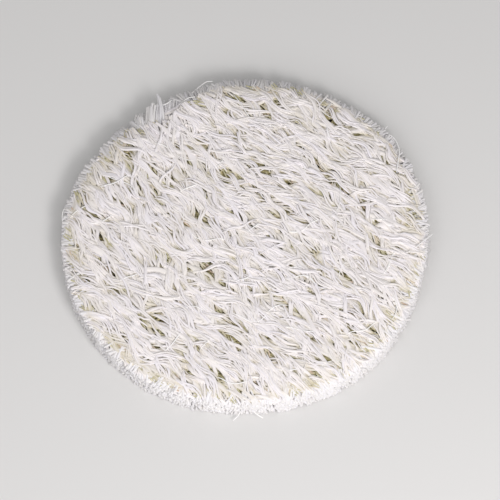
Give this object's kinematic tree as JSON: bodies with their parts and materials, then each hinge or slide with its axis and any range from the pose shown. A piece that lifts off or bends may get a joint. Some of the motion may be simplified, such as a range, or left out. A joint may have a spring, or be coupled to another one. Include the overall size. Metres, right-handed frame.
{
  "type": "natural loofah sponge",
  "caption": "Flat round disc of natural loofah: a bleached net of fibres, pressed flat, with a cut jagged rim and a frayed bunch at one side.",
  "frame": {"origin": "middle of the underside, on the plane that the disc rests on", "axes": "+Z out of the upper face, +Y towards the far side of the picture, +X to its right"},
  "size_m": [0.0766, 0.0761, 0.006],
  "materials": {
    "loofah_fibre": "dry bleached plant fibre, nearly white, with olive and tan in the pores"
  },
  "bodies": {
    "root": {"loofah_disc": "loofah_fibre"}
  },
  "joints": []
}
